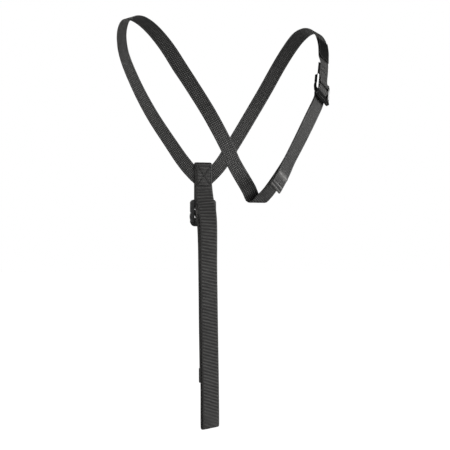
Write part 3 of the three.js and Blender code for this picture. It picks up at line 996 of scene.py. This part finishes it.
# Columns: x, y, z and turn, the angle in degrees by which the webbing faces the wearer's right.
BACK_FRONT = [
    (-0.6, 60.5, -238, 14),
    (-0.1, 55, -249, 15),
    (0.3, 51.5, -263, 12),
    (0.4, 49.5, -277, 7),
    (0.4, 49, -330, 4),
    (0.9, 47.2, -420, 4),
    (1.2, 44.2, -510, 2),
]
BACK_RETURN = [
    (1.2, 51.7, -510, 2),
    (0.9, 52.8, -420, 4),
    (0.2, 53.5, -330, 4),
    (0, 54.5, -295, 6),
]
BACK_TAIL = [
    (0, 57.8, -300, 6),
    (0.2, 57.2, -330, 4),
    (0.9, 56.4, -420, 4),
    (1.3, 55.2, -497, 3),
]


def hanging_rows(places, tilt=0):
    """Rows of hanging webbing, whose line across is tilted down on the wearer's right by `tilt`."""
    rows = []
    for x, y, z, degrees in places:
        turn = math.radians(degrees)
        rows.append((np.array((x, y, z), float), toward(-math.cos(turn), math.sin(turn), -tilt)))
    return rows


def patch_rows():
    """Up behind the back fold, over its top and down in front of it."""
    half = PATCH_STACK / 2
    centre = PATCH_TOP - BACK_THICKNESS / 2 - half
    over = [
        (-half * math.cos(turn), centre + half * math.sin(turn))
        for turn in HALF_TURN
    ]
    places = [(-half, PATCH_BEHIND), *over, *[(half, z) for z in PATCH_BEFORE]]
    return [
        (np.array((*(PATCH_MIDDLE + PATCH_FRONT * forward)[:2], z)), PATCH_ACROSS) for forward, z in places
    ]


def belt_loop_rows(x, front_y, bottom, bend, flat, turn):
    """The turn at the bottom, with a short flat where a belt bears on it."""
    diagonal = bend * (1 - math.sqrt(0.5))
    back_y = front_y + 2 * bend + flat
    return hanging_rows([
        (x, front_y, bottom + bend, turn),
        (x, front_y + diagonal, bottom + diagonal, turn),
        (x, front_y + bend, bottom, turn),
        (x, back_y - bend, bottom, turn),
        (x, back_y - diagonal, bottom + diagonal, turn),
        (x, back_y, bottom + bend, turn),
    ], BELT_LOOP_TILT)


back_anchor = BACK_LOCK.anchor_rows(
    end_height=36, proud=PATCH_STACK / 2 + BACK_LOCK_FORWARD, spacing=BACK_THICKNESS + LAYER_GAP
)
back_patch = patch_rows()
back_loop = belt_loop_rows(**BELT_LOOP)
back_tail = hanging_rows(BACK_TAIL)
back_hem = hem_rows(back_tail, toward(0, 1, 0), BACK_THICKNESS)
back_ribbon = Ribbon([
    *back_anchor,
    *back_patch,
    *hanging_rows(BACK_FRONT),
    *back_loop,
    *hanging_rows(BACK_RETURN),
    *BACK_LOCK.thread_rows(),
    *back_tail,
    *back_hem,
])

RIB_PITCH = 4.6
RIB_RELIEF = 0.3
# The ribs' colour runs from painted shade between them to a painted highlight on their crowns.
RIB_SHADOW = (0.007, 0.0068, 0.0065, 1)
RIB_CROWN = (0.102, 0.0995, 0.096, 1)
RIB_SLOPES = (0.02, 0.25, 0.38)
WRAP_SWELL = 3.2
BOX_HALF = 10.3
BOX_NEAR = 1
BOX_FAR = 29.5
BACK_STITCH_LIFT = BACK_THICKNESS / 2 - STITCH_SINK

# Lengths along the back webbing at the patch, the belt loop, its turns round two bars and its hem.
patch_over = len(back_anchor) + 1
behind = back_ribbon.marks[patch_over]
before = back_ribbon.marks[patch_over + 4]
end_sewn = back_ribbon.marks[len(back_anchor) - 1]
loop_start = len(back_anchor) + len(back_patch) + len(BACK_FRONT)
loop_bottom = back_ribbon.marks[loop_start + 3]
slope_places = (before + 40, before + 170, loop_bottom)
bar_turns = back_ribbon.marks[[4, loop_start + len(back_loop) + len(BACK_RETURN) + 5]]
back_hem_turn = back_ribbon.marks[-len(back_hem) - 1]
front_sewing = box_and_cross(before + BOX_NEAR, before + BOX_FAR, BOX_HALF)
back_sewing = box_and_cross(behind - BOX_FAR, behind - BOX_NEAR, BOX_HALF)


def near_lines(lie, across, lines):
    """From 1 on the sewn lines to 0 beside them."""
    dent_and_painted_shade = 0 * lie
    for begin, end in lines:
        run = math.dist(begin, end)
        way = (np.array(end) - begin) / run
        ahead = np.clip((lie - begin[0]) * way[0] + (across - begin[1]) * way[1], 0, run)
        off = np.hypot(lie - begin[0] - ahead * way[0], across - begin[1] - ahead * way[1])
        dent_and_painted_shade = np.maximum(dent_and_painted_shade, swell(off, 0, reach=0.75))
    return dent_and_painted_shade


def rib_skew(along):
    """The slope of the ribs, which grows quickly below the patch and then slowly down to the loop."""
    return np.interp(along, slope_places, RIB_SLOPES)


def ribbed_weave(lie, across, side):
    """Ribs, fainter on the sewn patch and at the loop. The cloth swells where it is pulled round a bar."""
    inner = np.clip((BACK_WIDTH / 2 - SELVAGE_BAND - abs(across)) / SELVAGE_FADE, 0, 1)
    patch = np.interp(lie, (before - 2, before, before + 36, before + 46), (1, 0.5, 0.5, 1))
    bottom = 1 - 0.7 * swell(lie, loop_bottom - 12, reach=16)
    sewn_wrap = swell(lie, bar_turns[0], reach=4) * (side > 0)
    threaded_wrap = swell(lie, bar_turns[1], reach=4) * (side < 0)
    clear = inner * patch * bottom
    plain_ribs = ridges(lie, RIB_PITCH) * clear + (inner - clear) * 0.6
    ribs = np.maximum(plain_ribs, WRAP_SWELL * (sewn_wrap + threaded_wrap))
    # The sewn lines dent the cloth, and the finish darkens them as painted shade.
    dent_and_painted_shade = near_lines(lie, across, [*front_sewing, *back_sewing]) * (side > 0)
    return ribs, 0 * lie, dent_and_painted_shade


def ribbed_webbing():
    material, start = new_material("ribbed_webbing")
    place, along, across = cloth_place(start)
    ribs, _, dent_and_painted_shade = cloth_weave(start)
    woven = BACK_WIDTH / 2 - SELVAGE_BAND
    selvage = abs(across).rising(woven - SELVAGE_FADE, woven)
    picks = across.ridges(1.5) * (along + across * 0.4).ridges(1.53) * (1 - selvage)
    wear = grain(start, place, WEAR_SCALE, detail=4.0)
    yarn = grain(start, place, YARN_SCALE)
    stretched = start.node("ShaderNodeCombineXYZ", {}, {0: along * 0.4, 1: across * 0.07})
    streaks = grain(start, stretched, scale=1.0, detail=3.0)
    threads = picks * 0.22 + selvage * 0.4 + yarn * 0.2
    # The tone drops along the sewn lines as painted shade.
    tone = ribs * (0.5 + streaks * 0.8) + threads + wear * 0.3 - dent_and_painted_shade * 0.3
    colour = tone.mixed(RIB_SHADOW, RIB_CROWN)
    roughness = 0.56 - ribs * 0.1 + wear * 0.2
    height = ribs + picks * 0.5 + yarn * 0.6
    finish_cloth(start, colour, roughness, height, bump=0.18, sheen=0.05, specular=0.25)
    return material


back_webbing = band(
    "back_webbing",
    back_ribbon,
    start=0,
    end=back_ribbon.marks[-1],
    width=BACK_WIDTH,
    thickness=BACK_THICKNESS,
    lift=np.zeros_like,
    step=RIB_PITCH / 6,
    columns=28,
    relief=RIB_RELIEF,
    weave=ribbed_weave,
    skew=rib_skew,
)
back_webbing.data.materials.append(ribbed_webbing())

patch_tack = bar_tack(before + 35, before + 38.5, half=10, teeth=20)
patch_back_tack = bar_tack(end_sewn - 8, end_sewn - 4.5, half=10, teeth=20)
back_hem_tack = bar_tack(back_hem_turn - 12, back_hem_turn - 8, half=10.5, teeth=24)
back_seams = [
    sew("patch_seam", back_ribbon, [*front_sewing, *patch_tack], side=1, lift=BACK_STITCH_LIFT),
    sew("patch_back_seam", back_ribbon, [*back_sewing, *patch_back_tack], side=1, lift=BACK_STITCH_LIFT),
    sew("back_hem_seam", back_ribbon, back_hem_tack, side=1, lift=BACK_STITCH_LIFT),
]
bpy.data.objects.remove(stitch)
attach(back_webbing, "root")
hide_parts("back_strap")

# The back buckle is a larger ladder lock of the same black moulding, with a tab that stands out further.
# The patch's sewn end holds its top bar, and the loop's upper end threads its other two.
back_lock = ladder_lock(
    "back_ladder_lock",
    BACK_LOCK,
    reach=9.8,
    lift=math.radians(28),
    squareness=0.3,
    # The back buckle's moulding is paler than the shoulder buckle's: the paler colour is painted light.
    finish=moulded_finish("satin_moulding_painted_light", dark=0.014, pale=0.034, roughness=0.36, shine=0.5),
)
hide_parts("back_buckle")

# The studio has a pale floor below the strap, white surroundings and soft boxes all round it.
# The camera stands level with the strap's middle, a little to the wearer's right of its front.
# Lengths here are metres.
FLOOR_HEIGHT = -0.62
FLOOR_RADIUS = 7
FLOOR_GLOW = 1.1
FLOOR_GLOW_SHARE = 0.94
ROOM_LIGHT = 0.24
ROOM_DIMMED_ABOVE = 0.16
ROOM_SHADE_AT_LEFT = 0.75
CAMERA_PLACE = (-0.6479, -1.4630, -0.275)
CAMERA_TURN = math.radians(-24)
CAMERA_LENS = 93
scene = bpy.context.scene

bpy.ops.object.select_all(action="DESELECT")
bpy.ops.mesh.primitive_circle_add(
    vertices=96, radius=FLOOR_RADIUS, fill_type="NGON", location=(0, 0, FLOOR_HEIGHT)
)
floor = bpy.context.object
floor.name = "floor"
floor_paper, floor_start = new_material("floor_paper")
floor_cloth = floor_start.node("ShaderNodeBsdfDiffuse", {}, {"Color": (0.8, 0.8, 0.8, 1)})
floor_glow = floor_start.node("ShaderNodeEmission", {}, {"Color": (1, 1, 1, 1), "Strength": FLOOR_GLOW})
floor_seen = floor_start.node("ShaderNodeLightPath", {}, {}, output="Is Camera Ray")
floor_surface = floor_start.node("ShaderNodeMixShader", {}, {
    0: floor_seen * FLOOR_GLOW_SHARE,
    1: floor_cloth,
    2: floor_glow,
})
floor_start.node("ShaderNodeOutputMaterial", {}, {"Surface": floor_surface})
floor.data.materials.append(floor_paper)

studio = bpy.data.worlds.new("studio")
studio.use_nodes = True
studio.node_tree.nodes.clear()
air = Shade(studio.node_tree)
seen = air.node("ShaderNodeLightPath", {}, {}, output="Is Camera Ray")
direction = air.node("ShaderNodeTexCoord", {}, {}, output="Generated")
sideways = air.node("ShaderNodeSeparateXYZ", {}, {0: direction}, output="X")
upward = air.node("ShaderNodeSeparateXYZ", {}, {0: direction}, output="Z")
# The surroundings light the strap evenly, but less from above and from the wearer's left.
level_light = ROOM_LIGHT - upward.rising(0.1, 0.9) * ROOM_DIMMED_ABOVE
room = level_light * (1 - sideways.rising(0.45, 0.9) * ROOM_SHADE_AT_LEFT)
glow = air.node("ShaderNodeBackground", {}, {"Color": (1, 1, 1, 1), "Strength": seen + (1 - seen) * room})
air.node("ShaderNodeOutputWorld", {}, {"Surface": glow})
scene.world = studio


def soft_box(name, place, aim, width, height, power):
    light = bpy.data.lights.new(name, "AREA")
    light.shape = "RECTANGLE"
    light.size = width
    light.size_y = height
    light.energy = power
    box = bpy.data.objects.new(name, light)
    box.location = place
    box.rotation_euler = (Vector(aim) - Vector(place)).to_track_quat("-Z", "Y").to_euler()
    scene.collection.objects.link(box)


STRAP_MIDDLE = (0, 0, -0.25)
SHOULDER_RAIL = tuple(SHOULDER_LOCK.at * MM)

# Columns: name, place, aim, width, height and power in watts.
for soft_box_row in (
    ("right_box", (1.52, -0.85, -0.1), STRAP_MIDDLE, 0.7, 0.8, 27),
    ("glint_box", (1.61, 0.26, 0.44), SHOULDER_RAIL, 0.22, 0.22, 1.8),
    ("front_box", (0.85, -2.05, 0.15), STRAP_MIDDLE, 1.4, 1.2, 4.5),
    ("top_box", (-0.5, -1.0, 1.35), STRAP_MIDDLE, 1.0, 0.8, 11),
    ("left_box", (-1.7, -0.7, 0.1), STRAP_MIDDLE, 0.5, 1.2, 5),
    ("left_strip", (-1.6, 0.9, -0.1), STRAP_MIDDLE, 0.6, 1.4, 8),
    ("back_box", (0.3, 2.3, 0.5), STRAP_MIDDLE, 1.4, 1.2, 12),
):
    soft_box(*soft_box_row)

camera = bpy.data.cameras.new("camera")
camera.lens = CAMERA_LENS
camera.sensor_width = 36
viewpoint = bpy.data.objects.new("camera", camera)
viewpoint.location = CAMERA_PLACE
viewpoint.rotation_euler = (math.pi / 2, 0, CAMERA_TURN)
scene.collection.objects.link(viewpoint)
scene.camera = viewpoint
scene.view_settings.view_transform = "Standard"
